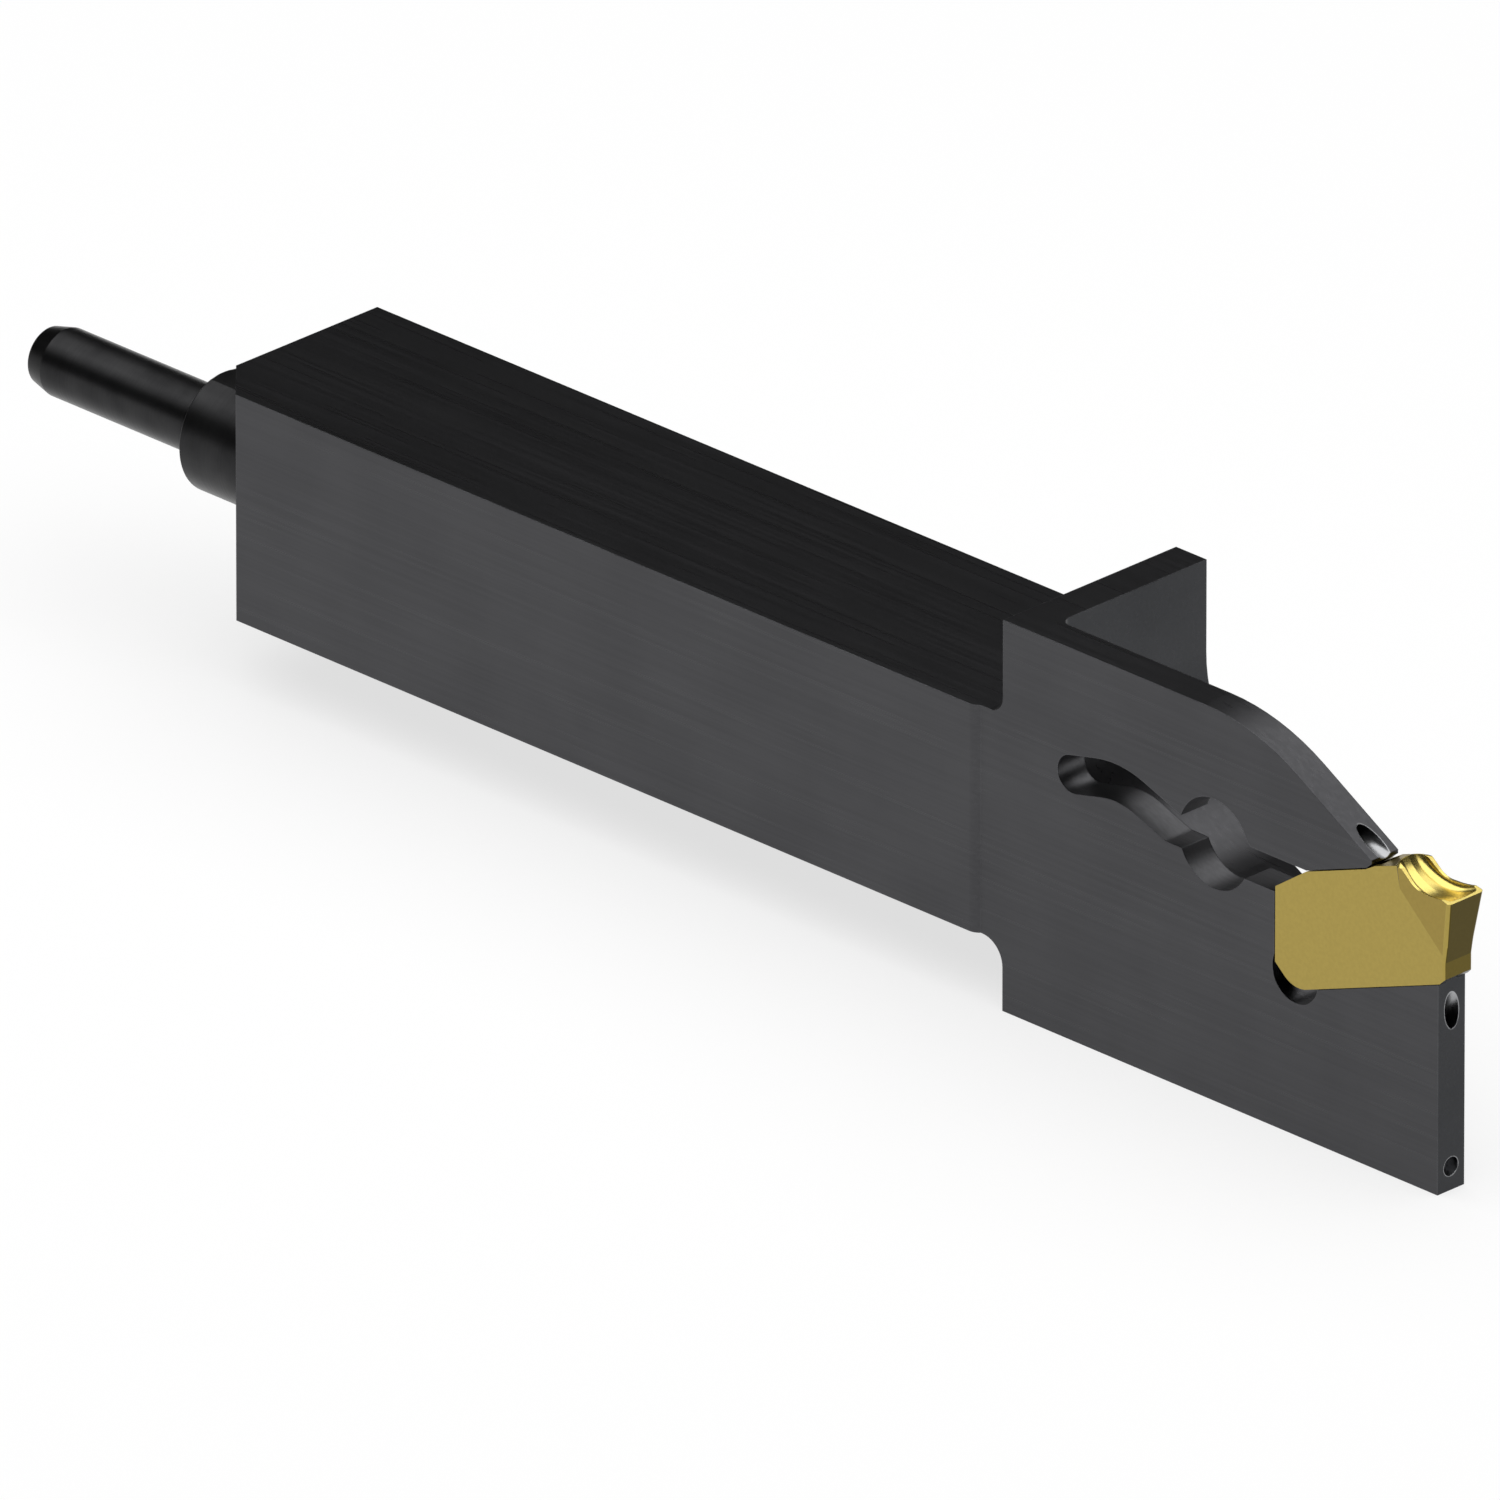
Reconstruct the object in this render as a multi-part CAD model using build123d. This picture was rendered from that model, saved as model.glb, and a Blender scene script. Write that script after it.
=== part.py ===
# Parting and grooving tool holder with a square shank, a self-clamping blade and coolant channels.
# Millimetres.  X runs along the shank to the cutting end, Y to the back, Z up.
# Origin: underside of the shank, at its rear end face, on its centre line.
import os
from math import cos, hypot, pi, radians, sin, sqrt, tan

from build123d import *

os.makedirs("parts", exist_ok=True)

# Shank
SHANK_H = 25.0              # height, equal to the height of the cutting edge
SHANK_W = 25.0
REAR_CHAMFER = 5.0          # on the upright corner between the end face and the front side
FRONT_SIDE = -SHANK_W / 2
BACK_SIDE = SHANK_W / 2

# Head: an upright cross plate, with the blade ahead of it
HEAD_X = 113.16             # rear face of the cross plate
PLATE_T = 4.28
HEAD_TOP = 35.39
HEAD_BOTTOM = -7.59
HEAD_SIDE = -12.0           # the head is ground back half a millimetre from the shank's side
SIDE_STEP_X = 109.0         # where that grinding starts
STEP_R = 1.5
PLATE_FILLET_TOP = 1.8
PLATE_FILLET_BOTTOM = 2.8

# Blade
BLADE_T = 3.77
BLADE_BACK = HEAD_SIDE + BLADE_T
BLADE_Y = HEAD_SIDE + BLADE_T / 2
BLADE_FRONT = 173.95
CORNER_R = 1.25             # upright fillet between cross plate and blade
TIP_X = 164.6               # front end of the clamping finger
TIP_Z = 25.97
NOSE_ANGLE = 30.0           # fall of the finger's top
NOSE_R = 26.25

# Support behind the blade: a ledge that narrows towards the front
LEDGE_Z = 9.7
LEDGE_R = 15.5
TAPER_START = 122.6
TAPER_END = 168.7

# Spring slot and the hole for the release key
SLOT_W = 4.1
SLOT_END = (122.9, 21.63)
SLOT_CREST = (128.8, 22.73)
SLOT_R = 10.0
SLOT_RISE = 13.0            # degrees, from the blind end up to the crest
SLOT_FALL = 20.0            # degrees, from the crest down to the key hole
SLOT_FLOOR = 18.63
KEY_HOLE = (142.72, 20.6)
KEY_R = 4.9
JAW_FLOOR = 18.15           # slot between the key hole and the insert
JAW_ROOF = 21.9

# Insert seat, tilted up to the front
SEAT_ANGLE = 20.0
SEAT_POINT = (174.2, 15.65)     # on the insert's lower land
CLAMP_POINT = (163.9, 24.85)    # on the insert's upper land
LAND_GAP = 0.08                 # the lands stay clear, the V flanks carry the insert
REAR_WALL = 151.15
RELIEF = (154.08, 10.08)
RELIEF_R = 3.2
RAIL_HALF = 0.95                # V rail
RAIL_H = 0.42
RAIL_CREST = 0.15

# Insert
INSERT_REAR = 151.35
INSERT_PROUD = 0.1              # the insert's sides stand this far outside the blade
CUT_X = 175.95
CUT_W = 5.0
CORNER_R_INSERT = 0.4
CLEARANCE = 9.0                 # degrees, front face
CLEARANCE_LOW = 18.1
FRONT_LAND_X = CUT_X - (SHANK_H - CLEARANCE_LOW) * tan(radians(CLEARANCE))
HEAD_START_X = 168.65           # where the wider cutting head starts, on the body's side
HEAD_START_Z = 24.29
HEAD_REAR = (168.25, 26.25)
HEAD_RAMP = 30.0                # the head's sides rise from the body's at this angle
HEAD_FOOT = (174.9, 18.63)      # where its side relief runs out, at the front
TOP_STEP = (168.0, 26.58)       # top of the head in side view: foot of the rim,
TOP_REAR = (169.05, 26.625)     # the fall from the rim, the low land along the sides
TOP_FALL = (170.3, 25.6)        # and the highest point behind the cutting edge
TOP_LOW = (172.3, 25.02)
TOP_FRONT = (174.85, 25.26)
RIM_X = 170.15                  # round rim behind the chip former: middle, crest height there,
RIM_Z = 26.31                   # radius, rounding, and how far it leans to the front in degrees
RIM_R = 2.8
RIM_ROUND = 0.55
RIM_LEAN = 16.0
BOWL_SWEEP = 6.0                # chip former, two halves side by side: radius along each,
BOWL_X = 172.8                  # lowest point, half width, corner radius across,
BOWL_FLOOR = 24.33              # and how far each turns outwards to the front, in degrees
BOWL_HALF = 2.05
BOWL_CORNER = 0.8
BOWL_SPLAY = 6.0

# Coolant
BORE_Z = SHANK_H / 2
FEED_D = 6.0
FEED_END = (93.2, 0.0, BORE_Z)
DRILL_D = 2.0
THREAD_D = 9.73
THREAD_DEPTH = 12.0
FRONT_HOLE_Z = -5.0             # mouth of the long drilling, at the foot of the blade
JET_Z = 12.1                    # mouth of the jet under the insert
JET_BRANCH = 0.891              # where the jet leaves the long drilling, as a share of its length
UPPER_HOLE_Z = 26.65            # upper channel, at the front end of the finger
UPPER_FALL = 6.8                # degrees
PLUG_L = 4.0                    # pressed pins that close the drillings
PLUG_SET_IN = 1.5

# Coolant nipple
COLLAR_R = 6.6
COLLAR_L = 9.4
COLLAR_FLAT = 6.28
SPIGOT_R = 3.7
SPIGOT_END = -34.6
NIPPLE_BORE = 4.0
NIPPLE_THREAD_L = 10.0
SEAL_MID_R = 5.45
SEAL_R = 0.5

MIN_Z = (Align.CENTER, Align.CENTER, Align.MIN)


def solid_between(face, y_near, y_far):
    """A side-view face (X, Z) made into a plate from y_near to y_far."""
    return extrude(Plane.XZ.offset(-y_far) * face, y_far - y_near)


def ring_of(*edges):
    """A face closed by edges that follow each other."""
    return make_face(Curve() + list(edges))


def polygon(*points):
    return make_face(Polyline(*points, close=True))


def corner(face, x, z):
    """The corner of a flat side-view face nearest to a place."""
    return min(face.vertices(), key=lambda v: hypot(v.X - x, v.Y - z))


def drilling(start, end, diameter):
    """A straight drilled bore."""
    a, b = Vector(*start), Vector(*end)
    along = b - a
    return extrude(Plane(origin=a, z_dir=along.normalized()) * Circle(diameter / 2), along.length)


def on_slope(point, x, gap=0.0):
    """Height of the tilted seat line through a point, moved off square by a gap."""
    return point[1] + (x - point[0]) * tan(radians(SEAT_ANGLE)) + gap / cos(radians(SEAT_ANGLE))


def v_prism(point, x0, x1, up, crest, over=0.0):
    """A V rail along the tilted seat.  up is +1 for the lower seat, -1 for the finger."""
    slope = (cos(radians(SEAT_ANGLE)), 0, sin(radians(SEAT_ANGLE)))
    start = (x0, BLADE_Y, on_slope(point, x0, -up * LAND_GAP))
    section = Plane(origin=start, x_dir=(0, 1, 0), z_dir=slope)
    fall = RAIL_H / RAIL_HALF
    side = 1 if section.y_dir.Z * up > 0 else -1
    top = RAIL_H - crest * fall
    foot = RAIL_HALF + over / fall
    if crest > 0:
        points = [(-foot, -over * side), (-crest, top * side), (crest, top * side), (foot, -over * side)]
    else:
        points = [(-foot, -over * side), (0, RAIL_H * side), (foot, -over * side)]
    return extrude(section * polygon(*points), (x1 - x0) / slope[0])


# Side view of the blade, before the slot and the seat are cut.
nose_fall = tan(radians(NOSE_ANGLE))
nose_top_x = TIP_X - (HEAD_TOP - TIP_Z) / nose_fall
blade_view = polygon(
    (HEAD_X, HEAD_BOTTOM), (BLADE_FRONT, HEAD_BOTTOM), (BLADE_FRONT, TIP_Z),
    (TIP_X, TIP_Z), (nose_top_x, HEAD_TOP), (HEAD_X, HEAD_TOP))
blade_view = fillet(corner(blade_view, nose_top_x, HEAD_TOP), NOSE_R)

# Spring slot: blind round end, rise, crest, fall and a level floor into the key hole.
half = SLOT_W / 2
crest_x, crest_z = SLOT_CREST[0], SLOT_CREST[1] - SLOT_R
rise, fall = radians(SLOT_RISE), radians(SLOT_FALL)


def on_crest(radius, angle):
    return (crest_x + radius * sin(angle), crest_z + radius * cos(angle))


end_low = (SLOT_END[0] + half * sin(rise), SLOT_END[1] - half * cos(rise))
end_high = (SLOT_END[0] - half * sin(rise), SLOT_END[1] + half * cos(rise))
end_back = (SLOT_END[0] - half * cos(rise), SLOT_END[1] - half * sin(rise))
inner, outer = SLOT_R - half, SLOT_R + half
low_fall = on_crest(inner, fall)
floor_x = low_fall[0] + (low_fall[1] - SLOT_FLOOR) / tan(fall)
high_fall = on_crest(outer, fall)
inside_key = (KEY_HOLE[0] - 3.0, high_fall[1] - (KEY_HOLE[0] - 3.0 - high_fall[0]) * tan(fall))
spring_slot = ring_of(
    Line(end_low, on_crest(inner, -rise)),
    ThreePointArc(on_crest(inner, -rise), on_crest(inner, 0), low_fall),
    Line(low_fall, (floor_x, SLOT_FLOOR)),
    Line((floor_x, SLOT_FLOOR), (KEY_HOLE[0] - 3.0, SLOT_FLOOR)),
    Line((KEY_HOLE[0] - 3.0, SLOT_FLOOR), inside_key),
    Line(inside_key, high_fall),
    ThreePointArc(high_fall, on_crest(outer, 0), on_crest(outer, -rise)),
    Line(on_crest(outer, -rise), end_high),
    ThreePointArc(end_high, end_back, end_low))
spring_slot = fillet(corner(spring_slot, floor_x, SLOT_FLOOR), 1.5)
key_hole = Pos(*KEY_HOLE) * Circle(KEY_R)
jaw_slot = polygon(
    (KEY_HOLE[0], JAW_FLOOR), (REAR_WALL + 1, JAW_FLOOR),
    (REAR_WALL + 1, JAW_ROOF), (KEY_HOLE[0], JAW_ROOF))

# Seat pocket: rear wall, tilted floor, and the underside of the finger.
clamp_land = on_slope(CLAMP_POINT, CLAMP_POINT[0], LAND_GAP)
jaw_corner = CLAMP_POINT[0] - (clamp_land - JAW_ROOF) / tan(radians(SEAT_ANGLE))
seat_pocket = polygon(
    (REAR_WALL, JAW_ROOF), (REAR_WALL, RELIEF[1]), (RELIEF[0], RELIEF[1]),
    (RELIEF[0], on_slope(SEAT_POINT, RELIEF[0], -LAND_GAP)),
    (CUT_X + 4, on_slope(SEAT_POINT, CUT_X + 4, -LAND_GAP)),
    (CUT_X + 4, 40), (TIP_X, 40), (TIP_X, 25.56),
    (CLAMP_POINT[0], clamp_land), (jaw_corner, JAW_ROOF))
relief_hole = Pos(*RELIEF) * Circle(RELIEF_R)
openings = spring_slot + key_hole + jaw_slot
openings = fillet(corner(openings, KEY_HOLE[0] + 4.7, JAW_ROOF), 1.0)

# Holder body
shank = Box(HEAD_X + 1, SHANK_W, SHANK_H, align=(Align.MIN, Align.CENTER, Align.MIN))
rear_edge = shank.edges().filter_by(Axis.Z).sort_by(lambda e: e.center().X + e.center().Y)[0]
shank = chamfer(rear_edge, REAR_CHAMFER)
plate_x1 = HEAD_X + PLATE_T
cross_plate = Pos(HEAD_X, HEAD_SIDE, HEAD_BOTTOM) * Box(
    PLATE_T, BACK_SIDE - HEAD_SIDE, HEAD_TOP - HEAD_BOTTOM, align=(Align.MIN, Align.MIN, Align.MIN))
top_web = ring_of(
    Line((HEAD_X - PLATE_FILLET_TOP, SHANK_H), (HEAD_X + 1, SHANK_H)),
    Line((HEAD_X + 1, SHANK_H), (HEAD_X + 1, SHANK_H + PLATE_FILLET_TOP)),
    Line((HEAD_X + 1, SHANK_H + PLATE_FILLET_TOP), (HEAD_X, SHANK_H + PLATE_FILLET_TOP)),
    RadiusArc((HEAD_X, SHANK_H + PLATE_FILLET_TOP), (HEAD_X - PLATE_FILLET_TOP, SHANK_H), PLATE_FILLET_TOP))
bottom_web = ring_of(
    Line((HEAD_X - PLATE_FILLET_BOTTOM, 0), (HEAD_X + 1, 0)),
    Line((HEAD_X + 1, 0), (HEAD_X + 1, -PLATE_FILLET_BOTTOM)),
    Line((HEAD_X + 1, -PLATE_FILLET_BOTTOM), (HEAD_X, -PLATE_FILLET_BOTTOM)),
    RadiusArc((HEAD_X, -PLATE_FILLET_BOTTOM), (HEAD_X - PLATE_FILLET_BOTTOM, 0), -PLATE_FILLET_BOTTOM))
step_run = sqrt(STEP_R ** 2 - (STEP_R - (HEAD_SIDE - FRONT_SIDE)) ** 2)
side_step = ring_of(
    Line((SIDE_STEP_X, FRONT_SIDE), (SIDE_STEP_X, FRONT_SIDE - 1)),
    Line((SIDE_STEP_X, FRONT_SIDE - 1), (HEAD_X + 3, FRONT_SIDE - 1)),
    Line((HEAD_X + 3, FRONT_SIDE - 1), (HEAD_X + 3, HEAD_SIDE)),
    Line((HEAD_X + 3, HEAD_SIDE), (SIDE_STEP_X + step_run, HEAD_SIDE)),
    RadiusArc((SIDE_STEP_X + step_run, HEAD_SIDE), (SIDE_STEP_X, FRONT_SIDE), STEP_R))

# Support behind the blade: hollow fillet down to a ledge, tapering in plan to nothing at the blade.
arc_x, arc_z = plate_x1 + LEDGE_R, LEDGE_Z + LEDGE_R
arc_middle = (arc_x - LEDGE_R * sin(pi / 4), arc_z - LEDGE_R * cos(pi / 4))
ledge_view = ring_of(
    Line((HEAD_X + 1, HEAD_BOTTOM), (BLADE_FRONT - 1, HEAD_BOTTOM)),
    Line((BLADE_FRONT - 1, HEAD_BOTTOM), (BLADE_FRONT - 1, LEDGE_Z)),
    Line((BLADE_FRONT - 1, LEDGE_Z), (arc_x, LEDGE_Z)),
    ThreePointArc((arc_x, LEDGE_Z), arc_middle, (plate_x1, arc_z)),
    Line((plate_x1, arc_z), (HEAD_X + 1, arc_z)),
    Line((HEAD_X + 1, arc_z), (HEAD_X + 1, HEAD_BOTTOM)))
ledge_plan = polygon(
    (HEAD_X, BLADE_BACK - 1), (HEAD_X, BACK_SIDE), (TAPER_START, BACK_SIDE), (TAPER_END, BLADE_BACK),
    (BLADE_FRONT - 1, BLADE_BACK), (BLADE_FRONT - 1, BLADE_BACK - 1))
ledge_plan = fillet(corner(ledge_plan, TAPER_START, BACK_SIDE), 15)
ledge_plan = fillet(corner(ledge_plan, TAPER_END, BLADE_BACK), 12)
support = solid_between(ledge_view, BLADE_BACK - 1, BACK_SIDE)
support &= Pos(0, 0, HEAD_BOTTOM - 1) * extrude(ledge_plan, arc_z - HEAD_BOTTOM + 2)
upright_fillet = ring_of(
    Line((plate_x1 - 1, BLADE_BACK - 1), (plate_x1 + CORNER_R, BLADE_BACK - 1)),
    Line((plate_x1 + CORNER_R, BLADE_BACK - 1), (plate_x1 + CORNER_R, BLADE_BACK)),
    RadiusArc((plate_x1 + CORNER_R, BLADE_BACK), (plate_x1, BLADE_BACK + CORNER_R), CORNER_R),
    Line((plate_x1, BLADE_BACK + CORNER_R), (plate_x1 - 1, BLADE_BACK + CORNER_R)),
    Line((plate_x1 - 1, BLADE_BACK + CORNER_R), (plate_x1 - 1, BLADE_BACK - 1)))

holder = shank + cross_plate + solid_between(blade_view, HEAD_SIDE, BLADE_BACK) + support
holder += solid_between(top_web, HEAD_SIDE, BACK_SIDE) + solid_between(bottom_web, HEAD_SIDE, BACK_SIDE)
holder += Pos(0, 0, LEDGE_Z) * extrude(upright_fillet, HEAD_TOP - LEDGE_Z)
holder -= Pos(0, 0, HEAD_BOTTOM - 1) * extrude(side_step, HEAD_TOP - HEAD_BOTTOM + 2)
holder -= solid_between(openings, -20, 20)
holder -= solid_between(seat_pocket + relief_hole, -20, 20)

# V rails that carry the insert, and a small stop pad on the rear wall of the seat.
lower_rail = v_prism(SEAT_POINT, 158.0, 180.0, 1, RAIL_CREST, 0.2)
lower_rail &= Pos(150, 0, 0) * Box(BLADE_FRONT - 150, 40, 60, align=(Align.MIN, Align.CENTER, Align.CENTER))
upper_rail = v_prism(CLAMP_POINT, 156.4, 163.2, -1, RAIL_CREST, 0.2)
stop_pad = Pos(REAR_WALL - 0.5, BLADE_Y, 15.0) * Box(
    INSERT_REAR - REAR_WALL + 0.5, 2.0, 5.0, align=(Align.MIN, Align.CENTER, Align.CENTER))
holder += [lower_rail, upper_rail, stop_pad]

# Coolant: feed bore, long drilling to the foot of the blade, jet under the insert,
# riser in the cross plate and the upper channel that breaks out of the finger's nose.
feed_x, feed_y, feed_z = FEED_END
front_hole = Vector(BLADE_FRONT, BLADE_Y, FRONT_HOLE_Z)
feed_start = Vector(*FEED_END)
long_way = front_hole - feed_start
riser_x = HEAD_X + PLATE_T / 2
riser_foot = feed_start + long_way * ((riser_x - feed_x) / long_way.X)
upper_fall = tan(radians(UPPER_FALL))
riser_top = Vector(riser_x, BLADE_Y, UPPER_HOLE_Z + (TIP_X - riser_x) * upper_fall)
riser_way = (riser_top - riser_foot).normalized()
riser_mouth = riser_foot - riser_way * ((riser_foot.Z - HEAD_BOTTOM) / riser_way.Z)
jet_mouth = Vector(BLADE_FRONT, BLADE_Y, JET_Z)
jet_foot = feed_start + long_way * JET_BRANCH
jet_way = (jet_mouth - jet_foot).normalized()
long_unit = long_way.normalized()

feed = Cylinder(FEED_D / 2, feed_x + 1, align=MIN_Z)
feed += Pos(0, 0, feed_x + 1) * Cone(FEED_D / 2, 0.3, 1.7, align=MIN_Z)
feed += Cylinder(THREAD_D / 2, THREAD_DEPTH, align=MIN_Z)
holder -= Pos(0, 0, BORE_Z) * Rot(0, 90, 0) * feed
holder -= drilling(feed_start, front_hole + long_unit * 2, DRILL_D)
holder -= drilling(jet_foot, jet_mouth + jet_way * 4, DRILL_D)
holder -= drilling(riser_top, riser_mouth - riser_way * 2, DRILL_D)
holder -= drilling(riser_top, Vector(TIP_X + 4, BLADE_Y, UPPER_HOLE_Z - 4 * upper_fall), DRILL_D)


def plug(mouth, inward):
    """A pressed pin with a chamfered outer end, set in from the mouth of a drilling."""
    seat = Plane(origin=mouth + inward * PLUG_SET_IN, z_dir=inward)
    pin = extrude(seat * Circle(DRILL_D / 2), PLUG_L)
    outer = pin.edges().filter_by(GeomType.CIRCLE).sort_by(lambda e: (e.arc_center - mouth).length)[0]
    return chamfer(outer, 0.2)


front_plug = plug(front_hole, -long_unit)
riser_plug = plug(riser_mouth, riser_way)

# Insert: side profile with both clamping lands, the rear chamfer and the front clearance.
insert_near, insert_far = HEAD_SIDE - INSERT_PROUD, BLADE_BACK + INSERT_PROUD
low_rear = (154.0, on_slope(SEAT_POINT, 154.0))
insert_view = ring_of(
    Line((INSERT_REAR, 18.85), (155.65, on_slope(CLAMP_POINT, 155.65))),
    Line((155.65, on_slope(CLAMP_POINT, 155.65)), CLAMP_POINT),
    Line(CLAMP_POINT, (165.15, 25.6)),
    Line((165.15, 25.6), TOP_STEP),
    Line(TOP_STEP, TOP_REAR),
    Line(TOP_REAR, TOP_FALL),
    ThreePointArc(TOP_FALL, (171.0, 25.2), TOP_LOW),
    ThreePointArc(TOP_LOW, (173.7, 25.07), TOP_FRONT),
    Line(TOP_FRONT, (CUT_X, SHANK_H)),
    Line((CUT_X, SHANK_H), (FRONT_LAND_X, CLEARANCE_LOW)),
    Line((FRONT_LAND_X, CLEARANCE_LOW), (FRONT_LAND_X, 16.3)),
    Line((FRONT_LAND_X, 16.3), SEAT_POINT),
    Line(SEAT_POINT, low_rear),
    Line(low_rear, (INSERT_REAR, 10.6)),
    Line((INSERT_REAR, 10.6), (INSERT_REAR, 18.85)))
insert_view = fillet(corner(insert_view, *low_rear), 3.1)
insert_body = solid_between(insert_view, insert_near, insert_far)

# A raised round rim closes the chip former at the rear.
rim = Cylinder(RIM_R, 2.0, align=(Align.CENTER, Align.CENTER, Align.MAX))
rim = fillet(rim.edges().filter_by(GeomType.CIRCLE).sort_by(Axis.Z)[-1], RIM_ROUND)
rim = Pos(RIM_X, BLADE_Y, RIM_Z) * Rot(0, RIM_LEAN, 0) * rim
rim -= Pos(TOP_REAR[0], BLADE_Y, 20) * Box(10, 10, 20, align=(Align.MIN, Align.CENTER, Align.MIN))
insert_body += rim & solid_between(Pos(165, 26.2) * Rectangle(10, 2), insert_near, insert_far)

# The cutting head is wider than the body and is relieved downwards and to the rear.
head_zone = polygon(
    (HEAD_REAR[0], 28), HEAD_REAR, (HEAD_START_X, HEAD_START_Z), (HEAD_START_X, 14), (178, 14), (178, 28))
head = solid_between(insert_view & head_zone, BLADE_Y - 3.2, BLADE_Y + 3.2)
head += rim & solid_between(head_zone & Pos(175, 26.2) * Rectangle(20, 2), BLADE_Y - 3.2, BLADE_Y + 3.2)
for side in (-1, 1):
    body_y = BLADE_Y + side * (insert_far - insert_near) / 2
    low_a = Vector(HEAD_START_X, body_y, HEAD_START_Z)
    low_b = Vector(HEAD_FOOT[0], body_y, HEAD_FOOT[1])
    tip = Vector(CUT_X, BLADE_Y + side * CUT_W / 2, SHANK_H)
    normal = (low_b - low_a).cross(tip - low_a).normalized()
    if normal.Y * side < 0:
        normal = -normal
    head = split(head, bisect_by=Plane(origin=low_a, z_dir=normal), keep=Keep.BOTTOM)
    up_edge = Vector(HEAD_REAR[0] - HEAD_START_X, 0, HEAD_REAR[1] - HEAD_START_Z)
    ramp = up_edge.cross(Vector(cos(radians(HEAD_RAMP)), side * sin(radians(HEAD_RAMP)), 0))
    if ramp.X > 0:
        ramp = -ramp
    head = split(head, bisect_by=Plane(origin=low_a, z_dir=ramp), keep=Keep.BOTTOM)


def front_corners(solid):
    """The upright edges at the two front corners."""
    return solid.edges().filter_by(
        lambda e: e.center().X > FRONT_LAND_X - 0.1 and e.length > 1.5
        and abs((e @ 1).Y - (e @ 0).Y) < 1.2 and abs((e @ 1).Z - (e @ 0).Z) > 1.2)


head = fillet(front_corners(head), CORNER_R_INSERT)
insert_body = fillet(front_corners(insert_body), CORNER_R_INSERT - 0.1)
insert = insert_body + head

# Chip former: a bowl behind the cutting edge.  Its two halves turn outwards to the front, which
# leaves a soft ridge between them and a wider land at the front corners.
bowl = []
for side in (-1, 1):
    half_bowl = Rot(90, 0, 0) * Cylinder(BOWL_SWEEP, BOWL_HALF + 1.0)
    outer_edge = half_bowl.edges().filter_by(GeomType.CIRCLE).sort_by(Axis.Y)[-1 if side > 0 else 0]
    half_bowl = fillet(outer_edge, BOWL_CORNER)
    half_bowl = Pos(0, side * (BOWL_HALF - 1.0) / 2, BOWL_FLOOR + BOWL_SWEEP) * half_bowl
    half_bowl = Pos(BOWL_X, BLADE_Y, 0) * Rot(0, 0, side * BOWL_SPLAY) * half_bowl
    bowl.append(half_bowl & Pos(BOWL_X, BLADE_Y + side * 5, 25) * Box(30, 10, 30))
insert -= bowl[0] + bowl[1]

# V grooves that ride on the rails of the seat and of the finger.
insert -= v_prism(SEAT_POINT, 150.0, 180.0, 1, 0.0, 0.3)
insert -= v_prism(CLAMP_POINT, 150.0, 165.6, -1, 0.0, 0.3)

# Coolant nipple: collar with two wrench flats, spigot with a tapered end, threaded end.
nipple_axis = Pos(0, 0, BORE_Z) * Rot(0, 90, 0)
collar = Pos(0, 0, -COLLAR_L) * Cylinder(COLLAR_R, COLLAR_L, align=MIN_Z)
collar &= Pos(0, 0, -COLLAR_L) * Box(2 * COLLAR_FLAT, 2 * COLLAR_R + 1, COLLAR_L, align=MIN_Z)
spigot = Pos(0, 0, SPIGOT_END + 2.5) * Cylinder(SPIGOT_R, -SPIGOT_END - 2.5, align=MIN_Z)
spigot += Pos(0, 0, SPIGOT_END) * Cone(SPIGOT_R - 0.58, SPIGOT_R, 2.5, align=MIN_Z)
threaded = Cylinder(THREAD_D / 2 - 0.05, NIPPLE_THREAD_L, align=MIN_Z)
threaded = chamfer(threaded.edges().sort_by(Axis.Z)[-1], 0.8)
seal_groove = Cylinder(SEAL_MID_R + SEAL_R + 0.03, 2.0, align=MIN_Z)
seal_groove -= Cylinder(SEAL_MID_R - SEAL_R - 0.03, 2.0, align=MIN_Z)
nipple = collar + spigot + threaded - Pos(0, 0, -2 * SEAL_R - 0.02) * seal_groove
nipple -= Pos(0, 0, SPIGOT_END - 1) * Cylinder(NIPPLE_BORE / 2, 60, align=MIN_Z)
nipple = nipple_axis * nipple
seal = nipple_axis * Pos(0, 0, -SEAL_R) * Torus(SEAL_MID_R, SEAL_R)

pieces = {
    "holder_body": holder,
    "cutting_insert": insert,
    "coolant_nipple": nipple,
    "nipple_seal": seal,
    "front_channel_plug": front_plug,
    "riser_channel_plug": riser_plug,
}
for name, piece in pieces.items():
    export_step(piece, f"parts/{name}.step")
    print(f"{name}: {len(piece.solids())} solid, {piece.volume:.1f} mm3, valid {piece.is_valid}")
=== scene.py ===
import math

import bmesh
import bpy
from bpy.props import FloatProperty, FloatVectorProperty, IntProperty, PointerProperty
from mathutils import Matrix, Vector


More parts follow.
